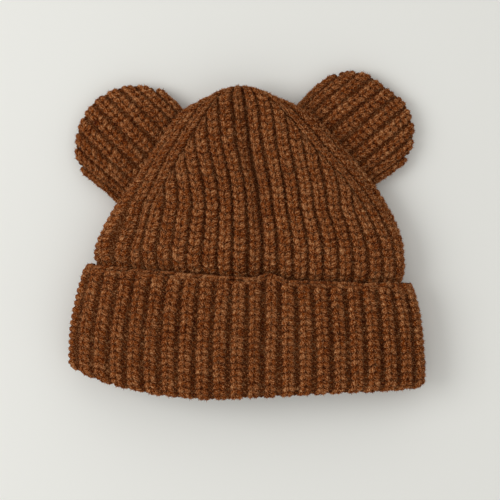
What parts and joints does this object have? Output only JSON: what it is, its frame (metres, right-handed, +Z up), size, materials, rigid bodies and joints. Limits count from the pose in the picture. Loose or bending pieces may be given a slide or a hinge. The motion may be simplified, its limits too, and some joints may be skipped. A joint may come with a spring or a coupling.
{
  "type": "baby hat",
  "caption": "Baby's chunky rib-knit hat with a turned-up cuff and two round ears sewn to the sides of the crown, lying on its back.",
  "frame": {"origin": "on the floor under the middle of the hat as it lies on its back", "axes": "+X across the hat, +Y from the mouth to the tip of the crown, +Z up through the front of the hat"},
  "size_m": [0.191, 0.173, 0.0344],
  "materials": {
    "knit": "matt heathered brown wool-blend yarn, chunky rib knit"
  },
  "bodies": {
    "root": {"crown": "knit", "cuff": "knit", "ear_left": "knit", "ear_right": "knit"}
  },
  "joints": []
}
